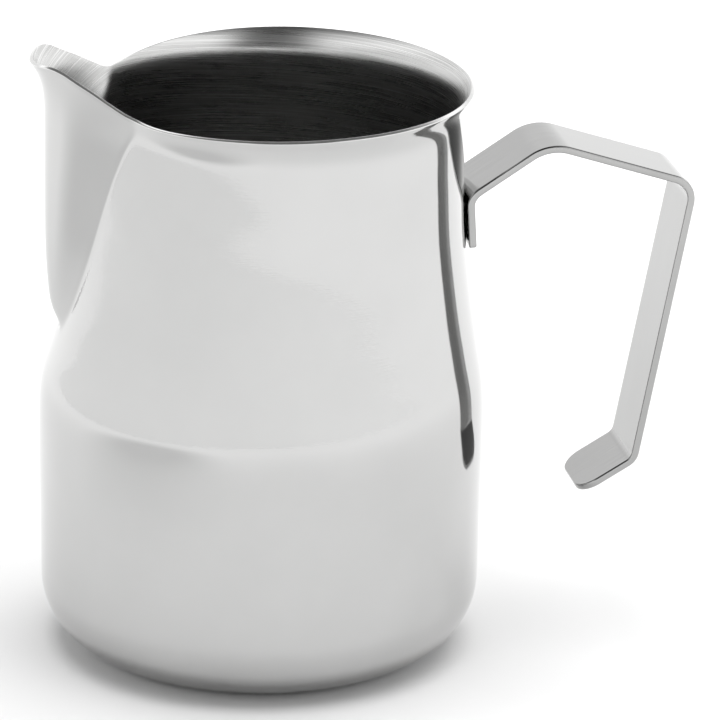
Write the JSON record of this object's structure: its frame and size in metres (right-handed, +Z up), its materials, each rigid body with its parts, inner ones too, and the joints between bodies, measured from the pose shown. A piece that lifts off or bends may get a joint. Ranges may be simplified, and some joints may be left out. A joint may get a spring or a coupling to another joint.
{
  "type": "milk frothing pitcher",
  "caption": "Round-bellied steel jug with a wide pressed pouring spout and an open, angular strap handle, for steaming, frothing and pouring milk.",
  "frame": {"origin": "centre of the standing ring under the cup, on the axis of the round lower part", "axes": "+Z up, +X towards the handle, -X towards the spout, and the pitcher is the same on both sides of the XZ plane"},
  "size_m": [0.1308, 0.088, 0.1215],
  "materials": {
    "polished_cup": "mirror polished outside, satin inside",
    "polished_strap": "polished",
    "weld_metal": "fused steel"
  },
  "bodies": {
    "root": {"body_shell": "polished_cup", "handle_strap": "polished_strap", "weld_nugget_lower": "weld_metal", "weld_nugget_upper": "weld_metal"}
  },
  "joints": []
}
